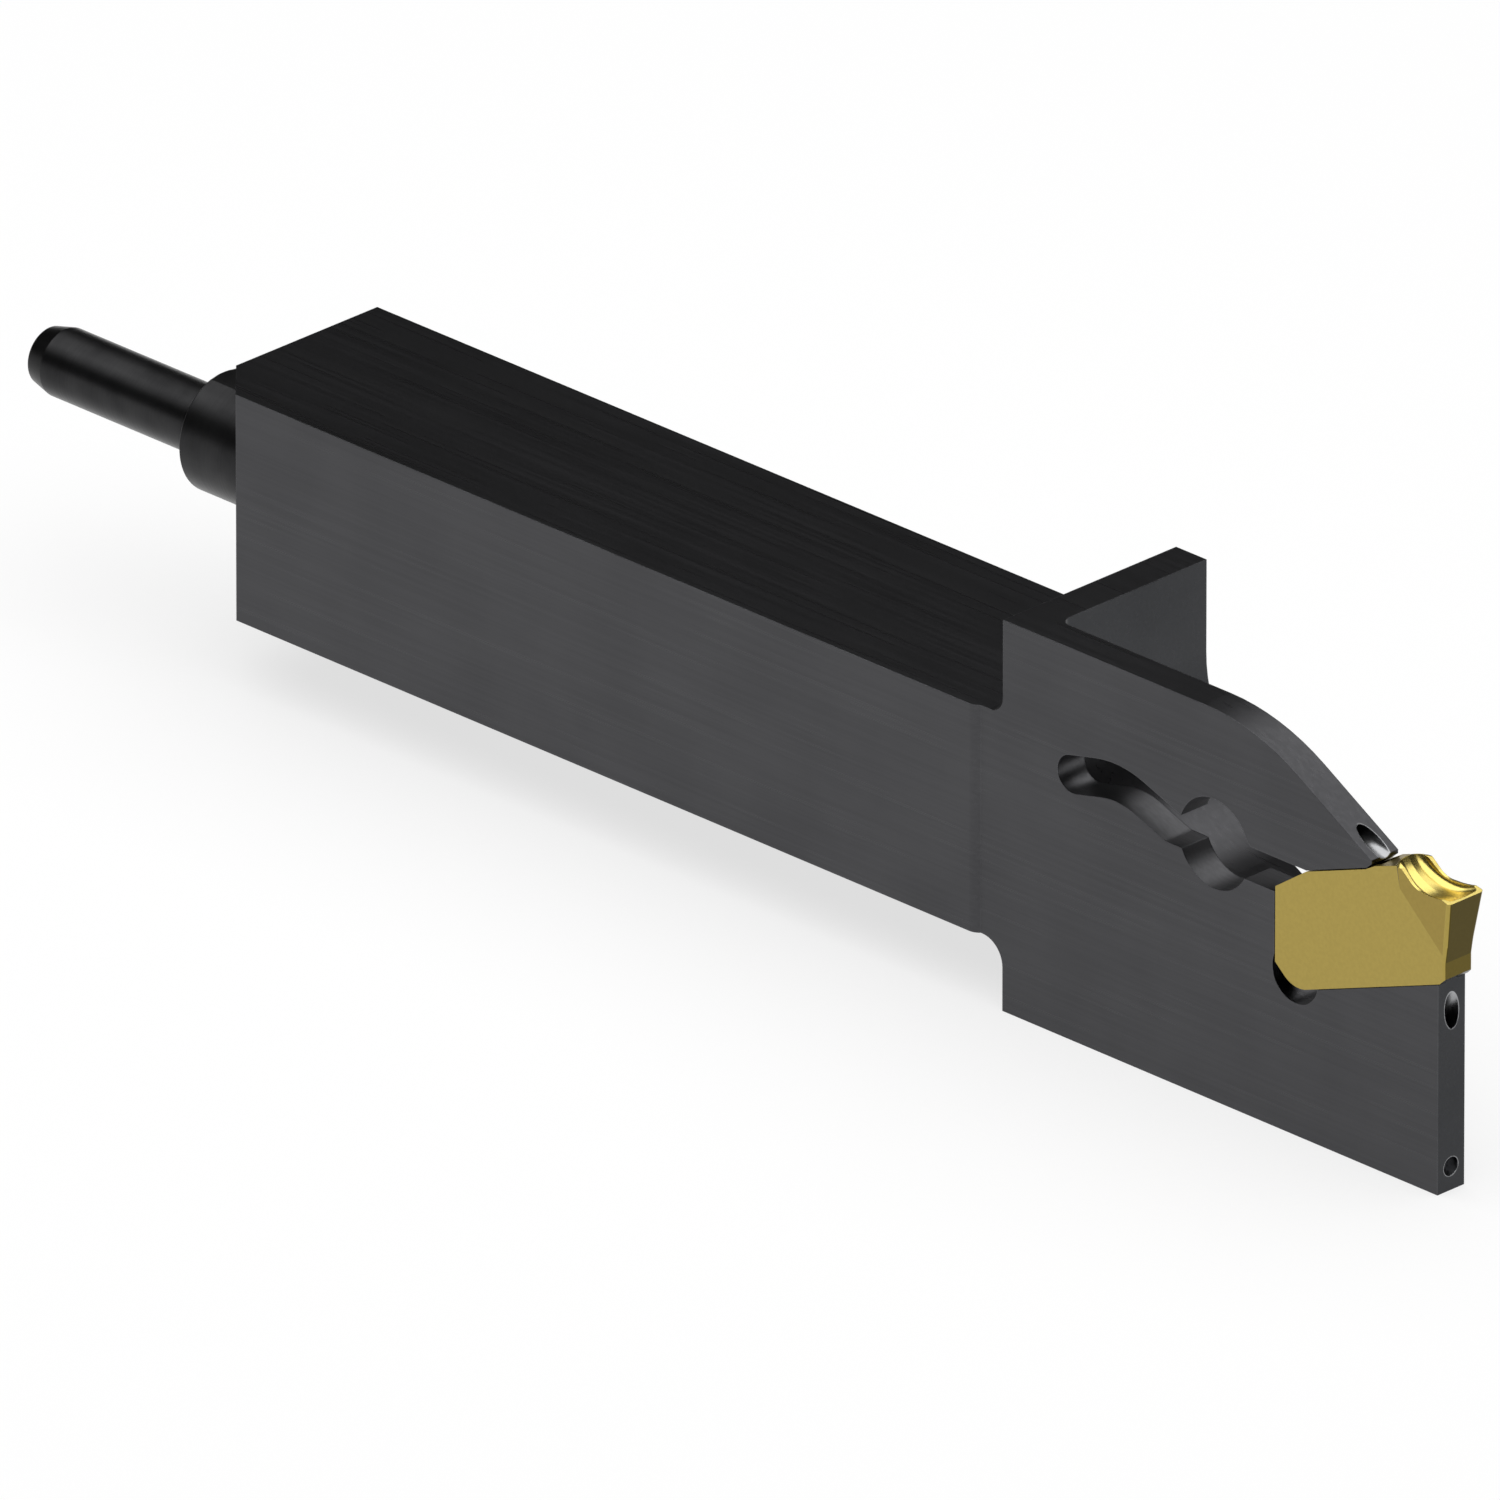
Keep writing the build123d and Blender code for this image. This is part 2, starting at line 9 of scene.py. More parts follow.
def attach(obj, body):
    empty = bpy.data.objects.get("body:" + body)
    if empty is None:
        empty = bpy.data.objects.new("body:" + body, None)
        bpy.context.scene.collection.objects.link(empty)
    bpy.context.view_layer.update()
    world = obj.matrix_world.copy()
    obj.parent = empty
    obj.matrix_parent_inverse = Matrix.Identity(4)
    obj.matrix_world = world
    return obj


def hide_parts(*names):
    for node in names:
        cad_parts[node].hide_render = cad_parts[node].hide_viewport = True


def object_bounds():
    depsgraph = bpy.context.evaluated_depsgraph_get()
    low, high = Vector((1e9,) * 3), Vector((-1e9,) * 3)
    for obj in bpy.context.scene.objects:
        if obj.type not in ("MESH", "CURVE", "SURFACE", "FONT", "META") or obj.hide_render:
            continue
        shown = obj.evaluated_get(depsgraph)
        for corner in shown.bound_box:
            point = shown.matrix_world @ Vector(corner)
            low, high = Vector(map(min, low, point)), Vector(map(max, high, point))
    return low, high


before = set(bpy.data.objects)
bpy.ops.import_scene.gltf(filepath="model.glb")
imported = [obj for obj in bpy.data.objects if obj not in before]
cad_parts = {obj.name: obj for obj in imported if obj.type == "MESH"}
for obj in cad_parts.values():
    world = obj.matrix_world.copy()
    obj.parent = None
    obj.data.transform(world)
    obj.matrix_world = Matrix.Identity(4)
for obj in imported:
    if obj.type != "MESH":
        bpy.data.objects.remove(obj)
CAD_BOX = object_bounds()

bl_info = {
    "name": "Parting Tool Holder",
    "version": (1, 0, 0),
    "blender": (4, 5, 0),
    "location": "3D View > Sidebar > Tool Holder",
    "description": "Finishes and stages a square-shank parting tool holder with a coated insert",
    "category": "Object",
}

MM = 0.001
# Coolant drillings of 2 mm, in millimetres, from inside the steel to their mouths: at the foot of
# the blade, under the insert, and at the nose of the clamping finger.
DRILLING_RADIUS = 1.0
COOLANT_DRILLINGS = (
    ((93.2, 0.0, 12.5), (173.95, -10.115, -5.0)),
    ((165.15, -9.01, -3.09), (173.95, -10.115, 12.1)),
    ((115.3, -10.115, 32.53), (164.6, -10.115, 26.65)))
# The cutting head with its chip former begins between these two distances along the shank.
HEAD_START = (167.4 * MM, 168.2 * MM)
# Box that holds the walls of the slots and of the key hole, but not the blade's two sides. Its
# lowest and highest corner, in millimetres, and how far inside it the slots' finish is full.
SLOT_BOX = ((119.0, -11.95, 11.0), (152.0, -8.28, 29.0))
SLOT_BOX_MARGIN = 0.1

MATH = "ShaderNodeMath"
VECTOR_MATH = "ShaderNodeVectorMath"
ADD = {"operation": "ADD"}
SUBTRACT = {"operation": "SUBTRACT"}
TIMES = {"operation": "MULTIPLY"}
DIVIDE = {"operation": "DIVIDE"}
# A Mix node that mixes colours: its share and colours by number, and the number of its result.
COLOURS = {"data_type": "RGBA"}
SHARE, UNDER, OVER, MIXED = 0, 6, 7, 2
SMOOTH = {"interpolation_type": "SMOOTHSTEP"}
BEVEL = {"samples": 4}
# Nearly all values of a noise lie between these.
NOISE_RANGE = (0.25, 0.75)
# A metal's marks change its roughness by this much, up and down.
ROUGHNESS_SWING = 0.03


def from_hex(code):
    """An sRGB hex colour such as #4a4a4c as linear red, green and blue."""
    parts = [int(code[i:i + 2], 16) / 255 for i in (1, 3, 5)]
    return tuple(c / 12.92 if c <= 0.04045 else ((c + 0.055) / 1.055) ** 2.4 for c in parts)


def colour(name, description, code):
    return FloatVectorProperty(
        name=name, description=description, default=from_hex(code), subtype="COLOR", min=0, max=1)


def length(name, description, millimetres):
    return FloatProperty(
        name=name, description=description, default=millimetres * MM, unit="LENGTH", min=0,
        precision=5)


def share(name, description, value):
    return FloatProperty(
        name=name, description=description, default=value, subtype="FACTOR", min=0, max=1)


def angle(name, description, degrees):
    return FloatProperty(
        name=name, description=description, default=math.radians(degrees), unit="ROTATION")


def power(name, description, watts):
    return FloatProperty(name=name, description=description, default=watts, unit="POWER", min=0)


def place(name, description, metres):
    return FloatVectorProperty(
        name=name, description=description, default=metres, subtype="TRANSLATION", unit="LENGTH",
        precision=6)


class HolderSteelSettings(bpy.types.PropertyGroup):
    """Black-oxided tool steel of the holder."""

    tone: colour("Oxide colour", "Black oxide on the ground faces", "#48484a")
    # Painted shade: the faces that look along +X get this darker colour.
    end_face_shade_tone: colour("End face colour", "Black oxide on the coarser milled end faces", "#38393b")
    line_tone: colour("Line colour", "Bottoms of the grinding lines", "#000000")
    cloud_tone: colour("Patch colour", "Paler patches in the oxide", "#7c7c7e")
    worn_tone: colour("Worn edge colour", "Edges where the oxide is rubbed thin", "#77787b")
    # Painted light: the walls of the coolant drillings get this pale colour.
    bore_light_tone: colour("Drilling colour", "Bare steel inside the coolant drillings", "#a9aaac")
    # Painted light: the walls of the slots and of the key hole get this paler colour.
    slot_light_tone: colour("Slot colour", "Oxide on the wire-cut walls of the spring slot", "#59595b")
    slot_matt: share("Slot matting", "How much rougher the wire-cut walls are", 0.13)
    wear: share("Edge wear", "How far the broken edges go towards the worn colour", 0.3)
    roughness: share("Roughness", "How wide the steel's highlights are", 0.3)
    grain: length("Grinding line spacing", "Distance between the grinding wheel's marks", 0.35)
    grain_length: length("Grinding line length", "How far one mark runs along the shank", 28.0)
    grain_depth: length("Grinding line depth", "Depth of the grinding wheel's marks", 0.0012)
    grain_strength: share("Grinding line strength", "How dark the marks are", 0.08)
    cloud: length("Oxide patch size", "Size of the faint patches in the oxide", 11.0)
    cloud_strength: share("Oxide patch strength", "How pale the patches are", 0.05)
    edge: length("Edge break", "Radius of the broken edges", 0.14)


class CoatingSettings(bpy.types.PropertyGroup):
    """Gold coloured nitride coating on the carbide insert."""

    tone: colour("Coating colour", "Coating on the ground sides", "#ab9750")
    # Painted shade on the relief faces.
    relief_shade_tone: colour("Relief colour", "Relief faces of the cutting head", "#9d8843")
    # Painted shade on the front clearance face.
    flank_shade_tone: colour("Flank colour", "Front clearance face", "#4e4316")
    # Painted highlight: the upward faces of the head get this lighter colour.
    chip_former_light_tone: colour("Chip former colour", "Polished chip former", "#e8d277")
    # Painted shade: the downward faces and the step before the relief faces get this colour.
    shade_tone: colour("Groove colour", "V grooves, where little coating reaches", "#2a2619")
    speckle_tone: colour("Speckle colour", "Fine dark speckle of the coating", "#000000")
    roughness: share("Roughness", "How wide the coating's highlights are", 0.3)
    polish: share("Polished roughness", "Roughness in the chip former", 0.24)
    grain: length("Grinding line spacing", "Distance between marks on the ground faces", 0.12)
    grain_length: length("Grinding line length", "How far one mark runs", 2.5)
    grain_depth: length("Grinding line depth", "Depth of the grinding marks", 0.0005)
    speckle: length("Speckle size", "Size of the coating's speckle", 0.4)
    speckle_strength: share("Speckle strength", "How dark the speckle is", 0.07)
    edge: length("Edge hone", "Radius of the honed edges", 0.06)


class NippleSettings(bpy.types.PropertyGroup):
    """Sizes and finish of the turned coolant nipple, its sealing ring and the closing pins."""

    spigot_radius: length("Spigot radius", "Outer radius of the spigot", 3.7)
    spigot_length: length("Spigot length", "From the collar to the free end", 25.2)
    taper_length: length("Taper length", "Length of the tapered lead-in at the free end", 2.5)
    taper_depth: length("Taper depth", "How much smaller the free end's radius is", 0.58)
    collar_radius: length("Collar radius", "Outer radius of the collar", 6.6)
    collar_length: length("Collar length", "From the shank's end to the collar's far side", 9.4)
    flat: length("Flat", "Distance of each wrench flat from the axis", 6.28)
    bore_radius: length("Bore radius", "Radius of the coolant bore", 2.0)
    thread_radius: length("Thread radius", "Radius at the thread's crests", 4.8)
    thread_length: length("Thread length", "Length of the threaded end", 10.0)
    pitch: length("Thread pitch", "Advance of the thread in one turn", 0.907)
    thread_depth: length("Thread depth", "Depth of the thread", 0.58)
    groove_inner: length("Groove inner radius", "Inner radius of the seal's groove", 4.92)
    groove_outer: length("Groove outer radius", "Outer radius of the seal's groove", 5.98)
    groove_depth: length("Groove depth", "Depth of the seal's groove", 1.02)
    edge: length("Edge break", "Chamfer on the turned edges", 0.3)
    axis_height: length("Axis height", "Height of the axis above the shank's underside", 12.5)
    segments: IntProperty(
        name="Segments", description="Faces round the nipple", default=96, min=12, max=256)
    tone: colour("Steel colour", "Oiled, oxided steel", "#2d2d2e")
    # On the lead-in taper this colour is painted shade.
    line_tone: colour("Line colour", "Tool marks, and the oxide left on the lead-in", "#000000")
    stain_tone: colour("Stain colour", "Dried oil", "#959595")
    roughness: share("Roughness", "How wide the steel's highlights are", 0.34)
    feed: length("Turning feed", "Distance between the tool marks", 0.22)
    feed_depth: length("Tool mark depth", "Depth of the tool marks", 0.0006)
    feed_strength: share("Tool mark strength", "How dark the tool marks are", 0.1)
    stain: length("Stain size", "Size of the oil stains", 4.0)
    stain_strength: share("Stain strength", "How pale the oil stains are", 0.05)
    rubber: colour("Rubber colour", "Rubber of the sealing ring", "#19191b")
    bloom_tone: colour("Bloom colour", "Faint bloom on the rubber", "#595959")
    bloom: length("Bloom size", "Size of the patches of bloom", 3.0)
    bloom_strength: share("Bloom strength", "How pale the bloom is", 0.12)
    pebble: length("Pebble size", "Grain that the mould leaves on the rubber", 0.15)
    pebble_depth: length("Pebble depth", "Depth of the rubber's grain", 0.005)
    pin_tone: colour("Pin colour", "Ground pins that close the drillings", "#8c8d90")


class StageSettings(bpy.types.PropertyGroup):
    """Floor, lamps and camera."""

    floor_tone: colour("Floor colour", "Colour of the floor", "#ffffff")
    floor_half: length("Floor half width", "From the middle of the floor to its edge", 6000.0)
    lift: share("Shadow lift", "How much of the floor by the object is plain white", 0.72)
    shadow_reach: length("Shadow reach", "Distance from which the floor turns white", 200.0)
    white_reach: length("White reach", "Distance from which the floor is all white", 600.0)
    dim: share("Room brightness", "Brightness of the room above the horizon", 0.029)
    horizon: share("Horizon band", "Height of the white band above the floor's edge", 0.025)
    lamp_power: power("Lamp power", "Power of the overhead soft box", 20.5)
    lamp_size: length("Lamp size", "Diameter of the overhead soft box", 2200.0)
    lamp_place: place("Lamp place", "Middle of the overhead soft box", (0.08, 0.0, 1.0))
    rear_power: power("Rear lamp power", "Power of the small rear soft box", 1.1)
    rear_size: length("Rear lamp size", "Diameter of the small rear soft box", 700.0)
    rear_place: place("Rear lamp place", "Middle of the rear soft box", (-1.0, -0.43, 0.88))
    rear_aim: place("Rear lamp aim", "Point that the rear soft box faces", (-0.02, 0.0, 0.01))
    aim: place("Camera aim", "Point in the middle of the picture", (0.09731, -0.031717, 0.022387))
    distance: length("Camera distance", "From the camera to the aim", 6800.0)
    azimuth: angle("Camera azimuth", "Direction of the camera round the object", 44.987)
    elevation: angle("Camera elevation", "Height of the camera above the horizon", 25.001)
    lens: FloatProperty(
        name="Lens", description="Focal length in millimetres", default=1640.66, min=1)


def add(tree, kind, settings=None, inputs=None):
    """Adds a node with its settings. Inputs, by name or number, are values, sockets or nodes.

    A node stands for its first output, and a colour gets an alpha of 1.
    """
    node = tree.nodes.new(kind)
    for name, value in (settings or {}).items():
        setattr(node, name, value)
    for key, value in (inputs or {}).items():
        socket = node.inputs[key]
        if isinstance(value, bpy.types.Node):
            value = value.outputs[0]
        if isinstance(value, bpy.types.NodeSocket):
            tree.links.new(value, socket)
        elif socket.type == "RGBA":
            socket.default_value = (*value, 1.0)
        else:
            socket.default_value = value
    return node


def new_material(name):
    """An empty material and its node tree."""
    material = bpy.data.materials.new(name)
    material.use_nodes = True
    material.node_tree.nodes.clear()
    return material, material.node_tree


def zone(tree, *limits):
    """1 where each value has passed its second limit, 0 where one hasn't reached its first.

    A facing's value is 1 where the surface looks straight along its axis, and -1 straight back.
    """
    inside = None
    for value, start, end in limits:
        passed = add(tree, "ShaderNodeMapRange", SMOOTH, {
            "Value": value, "From Min": start, "From Max": end})
        inside = passed if inside is None else add(tree, MATH, TIMES, {0: inside, 1: passed})
    return inside


def wheel_marks(tree, where, along, across):
    """Noise drawn out along the shank: marks of a grinding wheel."""
    stretched = add(tree, "ShaderNodeMapping", None, {
        "Vector": where, "Scale": (1 / along, 1 / across, 1 / across)})
    return add(tree, "ShaderNodeTexNoise", None, {
        "Vector": stretched, "Scale": 1.0, "Detail": 2.0})


def broken_edge(tree, radius):
    """1 where the surface turns within the radius, 0 on flat ground."""
    soft = add(tree, "ShaderNodeBevel", BEVEL, {"Radius": radius})
    flat = add(tree, "ShaderNodeNewGeometry").outputs["Normal"]
    agreement = add(tree, VECTOR_MATH, {"operation": "DOT_PRODUCT"}, {0: soft, 1: flat})
    # The cosines of 10 and of 31 degrees.
    slight_turn, full_turn = 0.985, 0.86
    return zone(tree, (agreement.outputs["Value"], slight_turn, full_turn))


def inside_drilling(tree, where, start, end):
    """1 on the wall of the drilling that runs from start to end, 0 elsewhere."""
    start, end = Vector(start) * MM, Vector(end) * MM
    direction = (end - start).normalized()
    offset = add(tree, VECTOR_MATH, SUBTRACT, {0: where, 1: start})
    beside = add(tree, VECTOR_MATH, {"operation": "CROSS_PRODUCT"}, {0: offset, 1: direction})
    distance = add(tree, VECTOR_MATH, {"operation": "LENGTH"}, {0: beside}).outputs["Value"]
    advance = add(tree, VECTOR_MATH, {"operation": "DOT_PRODUCT"}, {0: offset, 1: direction})
    # The limits lie just outside the wall, so that all of the wall is inside them.
    wall = DRILLING_RADIUS * MM
    return zone(tree, (distance, wall * 1.08, wall * 1.03), (advance.outputs["Value"], 0, wall))


def finish_metal(tree, tone, layers, roughness, marks, depth, edge):
    """A metal's colour, with others laid over it, and its marks on edges rounded to a radius.

    Each layer is where it lies, how strong it is there and its colour.
    """
    for where, strength, over in layers:
        cover = add(tree, MATH, TIMES, {0: where, 1: strength})
        tone = add(tree, "ShaderNodeMix", COLOURS, {SHARE: cover, UNDER: tone, OVER: over})
        tone = tone.outputs[MIXED]
    rounded = add(tree, "ShaderNodeBevel", BEVEL, {"Radius": edge})
    bumps = add(tree, "ShaderNodeBump", None, {
        "Strength": 1.0, "Distance": depth, "Height": marks, "Normal": rounded})
    metal = add(tree, "ShaderNodeBsdfPrincipled", None, {
        "Base Color": tone, "Metallic": 1.0, "Roughness": roughness, "Normal": bumps})
    add(tree, "ShaderNodeOutputMaterial", None, {"Surface": metal})


def black_oxided_tool_steel(settings):
    """Hardened tool steel, ground and then black oxided.

    To the eye: neutral dark grey, satin, with faint lines along the shank, soft patches in the
    oxide and thin lighter edges. The end faces that look along +X are painted darker, as painted
    shade, and the walls of the slots, the key hole and the drillings are painted paler, as painted
    light. Real grinding marks are about 0.03 mm apart; they are drawn about ten times as coarse,
    or they would not show.
    """
    material, tree = new_material("black_oxided_tool_steel")
    spot = add(tree, "ShaderNodeTexCoord").outputs
    facing = add(tree, "ShaderNodeSeparateXYZ", None, {0: spot["Normal"]}).outputs
    lines = wheel_marks(tree, spot["Object"], settings.grain_length, settings.grain)
    patches = add(tree, "ShaderNodeTexNoise", None, {
        "Vector": spot["Object"], "Scale": 1 / settings.cloud, "Detail": 3.0})

    # Hands and chips rub some stretches of an edge about three times as much as others, on a
    # band that is wider than the break itself.
    rubbing = add(tree, "ShaderNodeMapRange", SMOOTH, {
        "Value": patches, "From Min": 0.35, "From Max": 0.6, "To Min": 0.3})
    worn = add(tree, MATH, TIMES, {0: broken_edge(tree, settings.edge * 1.6), 1: rubbing})
    # The slots are cut by wire, which leaves their walls matt. Their walls and those of the key
    # hole are also painted paler, as painted light against the shade inside them.
    distances = add(tree, "ShaderNodeSeparateXYZ", None, {0: spot["Object"]}).outputs
    limits = []
    for axis, low, high in zip("XYZ", *SLOT_BOX):
        limits.append((distances[axis], low * MM, (low + SLOT_BOX_MARGIN) * MM))
        limits.append((distances[axis], high * MM, (high - SLOT_BOX_MARGIN) * MM))
    slot = zone(tree, *limits)
    layers = [
        # Painted shade on the faces that look along +X.
        (zone(tree, (facing["X"], 0.9, 0.99)), 1.0, settings.end_face_shade_tone),
        # Painted light on the walls of the slots and the key hole.
        (slot, 1.0, settings.slot_light_tone)]
    # Painted light on the walls of the drillings.
    for start, end in COOLANT_DRILLINGS:
        layers.append((inside_drilling(tree, spot["Object"], start, end), 1.0, settings.bore_light_tone))
    layers += [
        (zone(tree, (lines, *NOISE_RANGE)), settings.grain_strength, settings.line_tone),
        (zone(tree, (patches, *NOISE_RANGE)), settings.cloud_strength, settings.cloud_tone),
        (worn, settings.wear, settings.worn_tone)]
    low, high = NOISE_RANGE
    rough = add(tree, "ShaderNodeMapRange", SMOOTH, {
        "Value": lines, "From Min": low, "From Max": high,
        "To Min": settings.roughness - ROUGHNESS_SWING,
        "To Max": settings.roughness + ROUGHNESS_SWING})
    rough = add(tree, MATH, {"operation": "MULTIPLY_ADD"}, {
        0: slot, 1: settings.slot_matt, 2: rough})
    finish_metal(tree, settings.tone, layers, rough, lines, settings.grain_depth, settings.edge)
    return material


def nitride_coated_carbide(settings):
    """Sintered carbide, ground on its sides, with a gold coloured nitride coating.

    To the eye: satin gold sides with very fine lines, and a chip former that was pressed and
    given a polish. The front flank, the relief faces, the step before them and all downward faces
    are painted darker, as painted shade, and the upward faces of the head are painted lighter, as a
    painted highlight. Real grinding marks are about 0.01 mm apart and are drawn about ten times as
    coarse.
    """
    material, tree = new_material("nitride_coated_carbide")
    spot = add(tree, "ShaderNodeTexCoord").outputs
    facing = add(tree, "ShaderNodeSeparateXYZ", None, {0: spot["Normal"]}).outputs
    along = add(tree, "ShaderNodeSeparateXYZ", None, {0: spot["Object"]}).outputs["X"]
    lines = wheel_marks(tree, spot["Object"], settings.grain_length, settings.grain)
    speckle = add(tree, "ShaderNodeTexNoise", None, {
        "Vector": spot["Object"], "Scale": 1 / settings.speckle, "Detail": 3.0})
    sideways = add(tree, MATH, {"operation": "ABSOLUTE"}, {0: facing["Y"]})

    # The head's sides turn a few degrees to the rear, and a short steep step leads up to them. Both
    # are painted darker, as painted shade.
    relief = zone(tree, (sideways, 0.9, 0.97), (facing["X"], -0.03, -0.055))
    step = zone(tree, (facing["X"], -0.2, -0.4), (sideways, 0.6, 0.8))
    # The clearance face leans back under the edge and is painted dark, as painted shade; on the
    # upright foot below it the painted shade is a little lighter.
    flank = zone(tree, (facing["X"], 0.85, 0.95))
    lean = add(tree, "ShaderNodeMapRange", SMOOTH, {
        "Value": facing["Z"], "From Min": -0.05, "From Max": -0.12, "To Min": 0.84})
    flank = add(tree, MATH, TIMES, {0: flank, 1: lean})
    # Painted highlight: the upward faces of the head are painted lighter; they are also smoother.
    polish_and_highlight = zone(tree, (facing["Z"], 0.15, 0.4), (along, *HEAD_START))
    # Painted shade: all downward faces are painted dark.
    underside_shade = zone(tree, (facing["Z"], -0.3, -0.6))
    layers = [
        (relief, 1.0, settings.relief_shade_tone),
        (flank, 1.0, settings.flank_shade_tone),
        (polish_and_highlight, 1.0, settings.chip_former_light_tone),
        (underside_shade, 1.0, settings.shade_tone),
        (step, 1.0, settings.shade_tone),
        (zone(tree, (speckle, *NOISE_RANGE)), settings.speckle_strength, settings.speckle_tone)]
    rough = add(tree, "ShaderNodeMapRange", None, {
        "Value": polish_and_highlight, "To Min": settings.roughness, "To Max": settings.polish})
    finish_metal(tree, settings.tone, layers, rough, lines, settings.grain_depth, settings.edge)
    return material


def turned_steel(name, tone, settings):
    """Free-cutting steel, turned and oiled.

    To the eye: dark and smooth, with fine rings round the axis and across the end faces. The
    lead-in taper is painted darkest, as painted shade. Real feed marks are about 0.1 mm apart and
    are drawn at twice that, to show. The closing pins have it in a paler tone.
    """
    material, tree = new_material(name)
    spot = add(tree, "ShaderNodeTexCoord").outputs
    facing = add(tree, "ShaderNodeSeparateXYZ", None, {0: spot["Normal"]}).outputs
    centred = add(tree, "ShaderNodeMapping", None, {
        "Vector": spot["Object"], "Location": (0, 0, -settings.axis_height)})
    from_axis = add(tree, "ShaderNodeSeparateXYZ", None, {0: centred}).outputs
    arm = add(tree, "ShaderNodeCombineXYZ", None, {"Y": from_axis["Y"], "Z": from_axis["Z"]})
    radius = add(tree, VECTOR_MATH, {"operation": "LENGTH"}, {0: arm}).outputs["Value"]
    tool_path = add(tree, MATH, ADD, {0: from_axis["X"], 1: radius})
    rings = add(tree, "ShaderNodeTexNoise", {"noise_dimensions": "1D"}, {
        "W": tool_path, "Scale": 1 / settings.feed, "Detail": 1.0})
    stains = add(tree, "ShaderNodeTexNoise", None, {
        "Vector": centred, "Scale": 1 / settings.stain, "Detail": 3.0})
    # The taper looks 13 degrees to the rear, as hardly any other face does; it is painted dark
    # there, as painted shade.
    taper = zone(tree, (facing["X"], -0.1, -0.2), (facing["X"], -0.6, -0.4))
    layers = [
        (taper, 0.8, settings.line_tone),
        (zone(tree, (rings, *NOISE_RANGE)), settings.feed_strength, settings.line_tone),
        (zone(tree, (stains, *NOISE_RANGE)), settings.stain_strength, settings.stain_tone)]
    low, high = NOISE_RANGE
    rough = add(tree, "ShaderNodeMapRange", SMOOTH, {
        "Value": rings, "From Min": low, "From Max": high,
        "To Min": settings.roughness - ROUGHNESS_SWING,
        "To Max": settings.roughness + ROUGHNESS_SWING})
    finish_metal(tree, tone, layers, rough, rings, settings.feed_depth, settings.edge / 2)
    return material


def moulded_nitrile_rubber(settings):
    """Moulded nitrile rubber: black and matt, with a fine pebble and a faint bloom."""
    material, tree = new_material("moulded_nitrile_rubber")
    spot = add(tree, "ShaderNodeTexCoord").outputs["Object"]
    pebble = add(tree, "ShaderNodeTexNoise", None, {
        "Vector": spot, "Scale": 1 / settings.pebble, "Detail": 2.0})
    patches = add(tree, "ShaderNodeTexNoise", None, {"Vector": spot, "Scale": 1 / settings.bloom})
    bloom = add(tree, MATH, TIMES, {
        0: zone(tree, (patches, *NOISE_RANGE)), 1: settings.bloom_strength})
    tone = add(tree, "ShaderNodeMix", COLOURS, {
        SHARE: bloom, UNDER: settings.rubber, OVER: settings.bloom_tone})
    bumps = add(tree, "ShaderNodeBump", None, {"Distance": settings.pebble_depth, "Height": pebble})
    rubber = add(tree, "ShaderNodeBsdfPrincipled", None, {
        "Base Color": tone.outputs[MIXED], "Roughness": 0.6, "IOR": 1.52, "Normal": bumps})
    add(tree, "ShaderNodeOutputMaterial", None, {"Surface": rubber})
    return material


def dress(node, material):
    """Gives a CAD node's mesh one material."""
    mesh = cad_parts[node].data
    mesh.materials.clear()
    mesh.materials.append(material)


def nipple_section(sizes):
    """The nipple's half section, once round: distances along the axis, and radii."""
    back = -sizes.collar_length
    end = back - sizes.spigot_length
    edge, small = sizes.edge, sizes.edge / 2
    tip = sizes.spigot_radius - sizes.taper_depth
    root = sizes.thread_radius - sizes.thread_depth
    points = [
        (end + small, sizes.bore_radius), (end, sizes.bore_radius + small), (end, tip - small),
        (end + small, tip), (end + sizes.taper_length, sizes.spigot_radius)]
    # Fillet between the spigot and the collar's face.
    fillet = 2 * edge
    steps = 12
    for step in range(steps + 1):
        turn = math.pi / 2 * step / steps
        points.append((
            back - fillet * (1 - math.sin(turn)),
            sizes.spigot_radius + fillet * (1 - math.cos(turn))))
    points += [
        (back, sizes.collar_radius - edge), (back + edge, sizes.collar_radius),
        (-small, sizes.collar_radius), (0, sizes.collar_radius - small),
        (0, sizes.groove_outer), (-sizes.groove_depth, sizes.groove_outer),
        (-sizes.groove_depth, sizes.groove_inner), (0, sizes.groove_inner), (0, root),
        (2 * edge, root)]
    # After a neck the thread begins and ends with a chamfer.
    first = 3 * edge
    last = sizes.thread_length - 2 * edge
    rows_per_turn = 8
    rows = round((last - first) / sizes.pitch * rows_per_turn)
    points += [
        (first + (last - first) * row / rows, sizes.thread_radius) for row in range(rows + 1)]
    points += [(sizes.thread_length, root), (sizes.thread_length, sizes.bore_radius), points[0]]
    return points


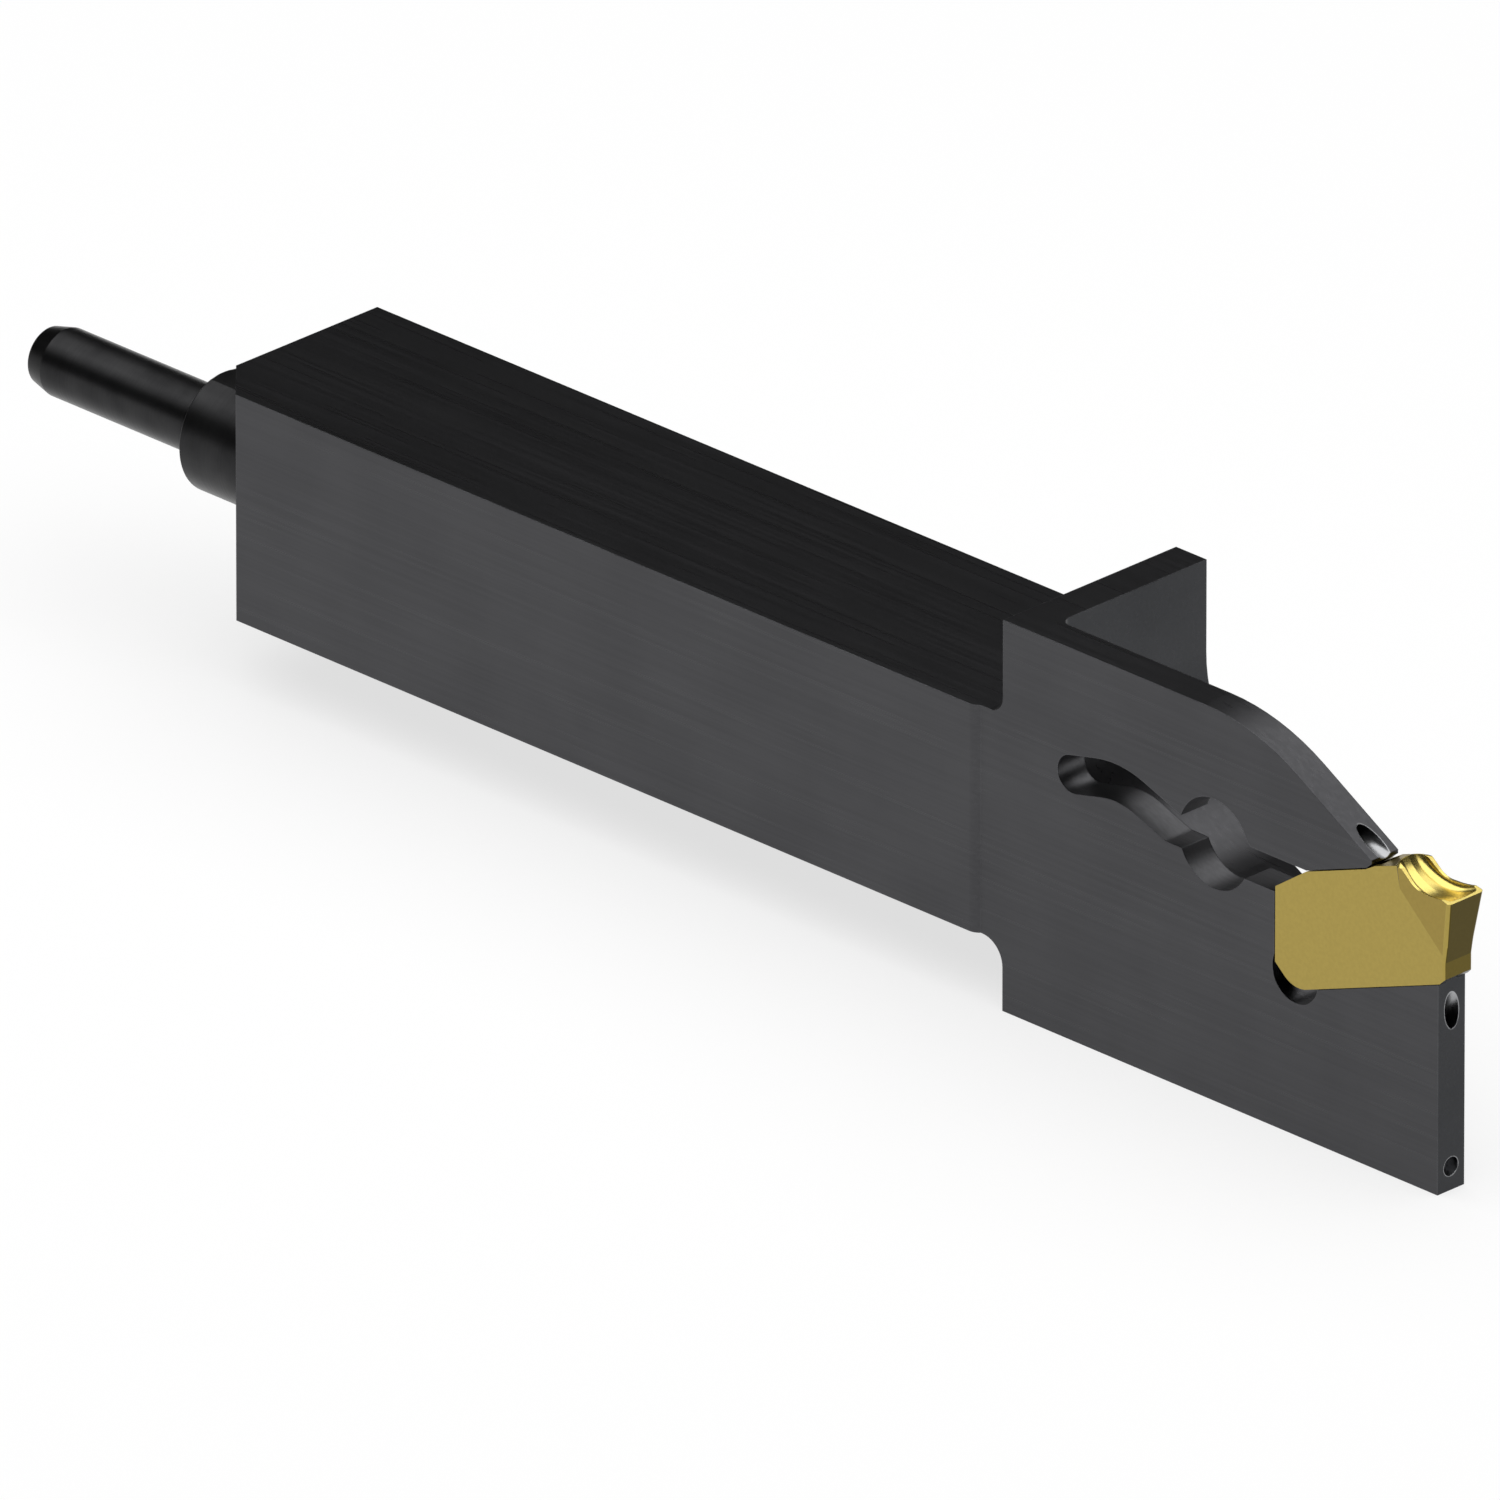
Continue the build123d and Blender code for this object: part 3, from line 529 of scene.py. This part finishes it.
def turning_tree():
    """Geometry Nodes that turn a half section about the X axis, with flats and a helical thread."""
    tree = bpy.data.node_groups.new("turned_nipple", "GeometryNodeTree")
    sockets = (
        ("Section", "Geometry"), ("Section Points", "Int"), ("Segments", "Int"),
        ("Axis Height", "Float"), ("Flat", "Float"), ("Collar Middle", "Float"),
        ("Collar Half", "Float"), ("Thread Middle", "Float"), ("Thread Half", "Float"),
        ("Pitch", "Float"), ("Thread Depth", "Float"), ("Material", "Material"))
    for name, kind in sockets:
        tree.interface.new_socket(name, in_out="INPUT", socket_type="NodeSocket" + kind)
    tree.interface.new_socket("Nipple", in_out="OUTPUT", socket_type="NodeSocketGeometry")
    given = add(tree, "NodeGroupInput").outputs

    # A grid with a row of section points for each step round the axis.
    columns = add(tree, MATH, ADD, {0: given["Segments"], 1: 1.0})
    sheet = add(tree, "GeometryNodeMeshGrid", None, {
        "Size X": 1.0, "Size Y": 1.0, "Vertices X": columns, "Vertices Y": given["Section Points"]})
    number = add(tree, "GeometryNodeInputIndex")
    station = add(tree, MATH, {"operation": "MODULO"}, {0: number, 1: given["Section Points"]})
    halfway = add(tree, MATH, ADD, {0: number, 1: 0.5})
    rows = add(tree, MATH, DIVIDE, {0: halfway, 1: given["Section Points"]})
    row = add(tree, MATH, {"operation": "FLOOR"}, {0: rows})
    turns = add(tree, MATH, DIVIDE, {0: row, 1: given["Segments"]})
    section_point = add(tree, "GeometryNodeSampleIndex", {"data_type": "FLOAT_VECTOR"}, {
        "Geometry": given["Section"], "Value": add(tree, "GeometryNodeInputPosition"),
        "Index": station}).outputs["Value"]
    section = add(tree, "ShaderNodeSeparateXYZ", None, {0: section_point}).outputs

    # The thread: a wave along the axis that moves on by one pitch each turn. It falls from full
    # depth to none in a third of a pitch, which leaves flat crests and narrow flat roots.
    advance = add(tree, MATH, DIVIDE, {0: section["X"], 1: given["Pitch"]})
    phase = add(tree, MATH, SUBTRACT, {0: advance, 1: turns})
    zigzag = add(tree, MATH, {"operation": "PINGPONG"}, {0: phase, 1: 0.5})
    wave = add(tree, MATH, {"operation": "MULTIPLY_ADD", "use_clamp": True}, {
        0: zigzag, 1: -3.0, 2: 1.1})
    on_thread = add(tree, MATH, {"operation": "COMPARE"}, {
        0: section["X"], 1: given["Thread Middle"], 2: given["Thread Half"]})
    depth = add(tree, MATH, TIMES, {0: wave, 1: given["Thread Depth"]})
    cut = add(tree, MATH, TIMES, {0: depth, 1: on_thread})
    radius = add(tree, MATH, SUBTRACT, {0: section["Z"], 1: cut})

    angle_round = add(tree, MATH, TIMES, {0: turns, 1: math.tau})
    sine = add(tree, MATH, {"operation": "SINE"}, {0: angle_round})
    cosine = add(tree, MATH, {"operation": "COSINE"}, {0: angle_round})
    across = add(tree, MATH, TIMES, {0: radius, 1: sine})
    height = add(tree, MATH, TIMES, {0: radius, 1: cosine})
    # The two wrench flats are level and cut the collar only. Elsewhere the limit is out of reach.
    on_collar = add(tree, MATH, {"operation": "COMPARE"}, {
        0: section["X"], 1: given["Collar Middle"], 2: given["Collar Half"]})
    top = add(tree, "GeometryNodeSwitch", {"input_type": "FLOAT"}, {
        "Switch": on_collar, "False": 1.0, "True": given["Flat"]})
    bottom = add(tree, MATH, TIMES, {0: top, 1: -1.0})
    height = add(tree, "ShaderNodeClamp", None, {"Value": height, "Min": bottom, "Max": top})
    height = add(tree, MATH, ADD, {0: height, 1: given["Axis Height"]})
    placed = add(tree, "ShaderNodeCombineXYZ", None, {"X": section["X"], "Y": across, "Z": height})

    turned = add(tree, "GeometryNodeSetPosition", None, {"Geometry": sheet, "Position": placed})
    closed = add(tree, "GeometryNodeMergeByDistance", None, {
        "Geometry": turned, "Distance": 0.001 * MM})
    whole = add(tree, "GeometryNodeRealizeInstances", None, {"Geometry": closed})
    painted = add(tree, "GeometryNodeSetMaterial", None, {
        "Geometry": whole, "Material": given["Material"]})
    add(tree, "NodeGroupOutput", None, {0: painted})
    return tree


def turned_nipple(sizes, material):
    """The nipple as one plain mesh, from its section and the turning tree."""
    points = nipple_section(sizes)
    mesh = bpy.data.meshes.new("nipple_section")
    mesh.from_pydata([(along, 0, radius) for along, radius in points], [], [])
    piece = bpy.data.objects.new("turned_coolant_nipple", mesh)
    bpy.context.scene.collection.objects.link(piece)
    tree = turning_tree()
    modifier = piece.modifiers.new("turning", "NODES")
    modifier.node_group = tree
    # These limits lie in the thread's two chamfers, so the wave moves nothing but its crests.
    thread_start = 2.5 * sizes.edge
    thread_end = sizes.thread_length - 1.5 * sizes.edge
    # Enough for the flats to reach the collar's own end points.
    tolerance = 0.01 * MM
    values = {
        "Section Points": len(points), "Segments": sizes.segments,
        "Axis Height": sizes.axis_height, "Flat": sizes.flat,
        "Collar Middle": -sizes.collar_length / 2,
        "Collar Half": sizes.collar_length / 2 + tolerance,
        "Thread Middle": (thread_start + thread_end) / 2,
        "Thread Half": (thread_end - thread_start) / 2,
        "Pitch": sizes.pitch, "Thread Depth": sizes.thread_depth, "Material": material}
    for socket in tree.interface.items_tree:
        if socket.in_out == "INPUT" and socket.name in values:
            modifier[socket.identifier] = values[socket.name]
    bpy.context.view_layer.update()
    done = piece.evaluated_get(bpy.context.evaluated_depsgraph_get())
    solid = bpy.data.meshes.new_from_object(done)
    if len(solid.polygons) < len(points):
        raise RuntimeError("the turning tree gave no nipple")
    piece.modifiers.remove(modifier)
    piece.data = solid

    shape = bmesh.new()
    shape.from_mesh(solid)
    bmesh.ops.dissolve_degenerate(shape, dist=0.001 * MM, edges=shape.edges)
    bmesh.ops.recalc_face_normals(shape, faces=shape.faces)
    shape.to_mesh(solid)
    shape.free()
    solid.shade_smooth()
    # Under the taper's 13 degrees, and over the steps of the round and of the fillet.
    solid.set_sharp_from_angle(angle=math.radians(10))
    return piece


class TOOL_OT_holder_body(bpy.types.Operator):
    """Black-oxided steel on the holder"""

    bl_idname = "tool_holder.holder_body"
    bl_label = "Holder body"

    def execute(self, context):
        dress("holder_body", black_oxided_tool_steel(context.scene.holder_steel))
        return {"FINISHED"}


class TOOL_OT_insert(bpy.types.Operator):
    """Gold coloured coating on the insert"""

    bl_idname = "tool_holder.insert"
    bl_label = "Cutting insert"

    def execute(self, context):
        dress("cutting_insert", nitride_coated_carbide(context.scene.coating))
        return {"FINISHED"}


class TOOL_OT_nipple(bpy.types.Operator):
    """Turned nipple with its thread, in the place of the plain one"""

    bl_idname = "tool_holder.nipple"
    bl_label = "Coolant nipple"

    def execute(self, context):
        settings = context.scene.nipple
        steel = turned_steel("turned_oxided_steel", settings.tone, settings)
        piece = turned_nipple(settings, steel)
        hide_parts("coolant_nipple")
        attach(piece, "root")
        return {"FINISHED"}


class TOOL_OT_seal(bpy.types.Operator):
    """Rubber on the sealing ring"""

    bl_idname = "tool_holder.seal"
    bl_label = "Nipple seal"

    def execute(self, context):
        dress("nipple_seal", moulded_nitrile_rubber(context.scene.nipple))
        return {"FINISHED"}


class TOOL_OT_plugs(bpy.types.Operator):
    """Ground steel on the pins that close the drillings"""

    bl_idname = "tool_holder.plugs"
    bl_label = "Channel plugs"

    def execute(self, context):
        settings = context.scene.nipple
        steel = turned_steel("ground_steel_pin", settings.pin_tone, settings)
        for node in ("front_channel_plug", "riser_channel_plug"):
            dress(node, steel)
        return {"FINISHED"}


def matt_white_board(settings):
    """Matt white board for the floor, part of it plain white to the camera, metal and glass.

    The share of plain white grows to all of it away from the object's shadow.
    """
    material, tree = new_material("matt_white_board")
    board = add(tree, "ShaderNodeBsdfPrincipled", None, {
        "Base Color": settings.floor_tone, "Roughness": 1.0, "Specular IOR Level": 0.0})
    glow = add(tree, "ShaderNodeEmission", None, {"Strength": 1.0})
    rays = add(tree, "ShaderNodeLightPath").outputs
    mirrored = add(tree, MATH, {"operation": "MAXIMUM"}, {
        0: rays["Is Glossy Ray"], 1: rays["Is Transmission Ray"]})
    seen = add(tree, MATH, {"operation": "MAXIMUM"}, {0: rays["Is Camera Ray"], 1: mirrored})
    spot = add(tree, "ShaderNodeTexCoord").outputs["Object"]
    away = add(tree, VECTOR_MATH, {"operation": "LENGTH"}, {0: spot}).outputs["Value"]
    white = add(tree, "ShaderNodeMapRange", SMOOTH, {
        "Value": away, "From Min": settings.shadow_reach, "From Max": settings.white_reach,
        "To Min": settings.lift, "To Max": 1.0})
    lifted = add(tree, MATH, TIMES, {0: seen, 1: white})
    surface = add(tree, "ShaderNodeMixShader", None, {0: lifted, 1: board, 2: glow})
    add(tree, "ShaderNodeOutputMaterial", None, {"Surface": surface})
    return material


def lay_floor(scene, settings):
    """A level floor under the CAD model's lowest point."""
    mesh = bpy.data.meshes.new("floor")
    half, level = settings.floor_half, CAD_BOX[0].z
    corners = [(x * half, y * half, level) for x, y in ((-1, -1), (1, -1), (1, 1), (-1, 1))]
    mesh.from_pydata(corners, [], [(0, 1, 2, 3)])
    mesh.materials.append(matt_white_board(settings))
    floor = bpy.data.objects.new("floor", mesh)
    scene.collection.objects.link(floor)


def dim_room(scene, settings):
    """A dim room above a white floor, and a narrow white band where they meet."""
    world = bpy.data.worlds.new("dim_room")
    world.use_nodes = True
    tree = world.node_tree
    tree.nodes.clear()
    direction = add(tree, "ShaderNodeTexCoord").outputs["Generated"]
    height = add(tree, "ShaderNodeSeparateXYZ", None, {0: direction}).outputs["Z"]
    white = add(tree, MATH, {"operation": "LESS_THAN"}, {0: height, 1: settings.horizon})
    strength = add(tree, "ShaderNodeMapRange", None, {
        "Value": white, "To Min": settings.dim, "To Max": 1.0})
    light = add(tree, "ShaderNodeBackground", None, {
        "Color": settings.floor_tone, "Strength": strength})
    add(tree, "ShaderNodeOutputWorld", None, {"Surface": light})
    scene.world = world


def hang_soft_box(scene, name, size, watts, middle, target):
    """A round area lamp, out of the camera's sight, that faces a target."""
    lamp = bpy.data.lights.new(name, "AREA")
    lamp.shape = "DISK"
    lamp.size = size
    lamp.energy = watts
    body = bpy.data.objects.new(name, lamp)
    body.location = middle
    body.rotation_euler = (Vector(target) - Vector(middle)).to_track_quat("-Z", "Y").to_euler()
    body.visible_camera = False
    scene.collection.objects.link(body)


def set_camera(scene, settings):
    """A long lens at the photo's angle. Azimuth 0 looks along +Y."""
    camera = bpy.data.cameras.new("camera")
    camera.lens = settings.lens
    camera.sensor_width = 36.0
    camera.clip_start = 0.1
    camera.clip_end = 100.0
    az, el = settings.azimuth, settings.elevation
    back = Vector((math.sin(az) * math.cos(el), -math.cos(az) * math.cos(el), math.sin(el)))
    right = Vector((math.cos(az), math.sin(az), 0))
    up = back.cross(right)
    view = bpy.data.objects.new("camera", camera)
    view.location = Vector(settings.aim) + settings.distance * back
    view.rotation_euler = Matrix((right, up, back)).transposed().to_euler()
    scene.collection.objects.link(view)
    scene.camera = view


class TOOL_OT_stage(bpy.types.Operator):
    """Pale floor, soft lamps and the camera"""

    bl_idname = "tool_holder.stage"
    bl_label = "Stage"

    def execute(self, context):
        scene = context.scene
        settings = scene.tool_stage
        scene.view_settings.view_transform = "Standard"
        lay_floor(scene, settings)
        dim_room(scene, settings)
        below = (settings.lamp_place[0], settings.lamp_place[1], 0.0)
        hang_soft_box(
            scene, "overhead_soft_box", settings.lamp_size, settings.lamp_power,
            settings.lamp_place, below)
        # Behind and above the nipple, where it adds to the light on the spigot's upper side.
        hang_soft_box(
            scene, "rear_soft_box", settings.rear_size, settings.rear_power,
            settings.rear_place, settings.rear_aim)
        set_camera(scene, settings)
        return {"FINISHED"}


class TOOL_PT_panel(bpy.types.Panel):
    """Lists the holder's operators"""

    bl_label = "Parting tool holder"
    bl_idname = "TOOL_PT_panel"
    bl_space_type = "VIEW_3D"
    bl_region_type = "UI"
    bl_category = "Tool Holder"

    def draw(self, context):
        for operator in OPERATORS:
            self.layout.operator(operator.bl_idname)


GROUPS = {
    "holder_steel": HolderSteelSettings,
    "coating": CoatingSettings,
    "nipple": NippleSettings,
    "tool_stage": StageSettings,
}
OPERATORS = (
    TOOL_OT_holder_body, TOOL_OT_insert, TOOL_OT_nipple, TOOL_OT_seal, TOOL_OT_plugs,
    TOOL_OT_stage)


def register():
    for kind in (*GROUPS.values(), *OPERATORS, TOOL_PT_panel):
        bpy.utils.register_class(kind)
    for name, group in GROUPS.items():
        setattr(bpy.types.Scene, name, PointerProperty(type=group))


def unregister():
    for name in GROUPS:
        delattr(bpy.types.Scene, name)
    for kind in (TOOL_PT_panel, *reversed(OPERATORS), *reversed(GROUPS.values())):
        bpy.utils.unregister_class(kind)


def main():
    register()
    bpy.ops.tool_holder.holder_body()
    bpy.ops.tool_holder.insert()
    bpy.ops.tool_holder.nipple()
    bpy.ops.tool_holder.seal()
    bpy.ops.tool_holder.plugs()
    bpy.ops.tool_holder.stage()


if __name__ == "__main__":
    main()
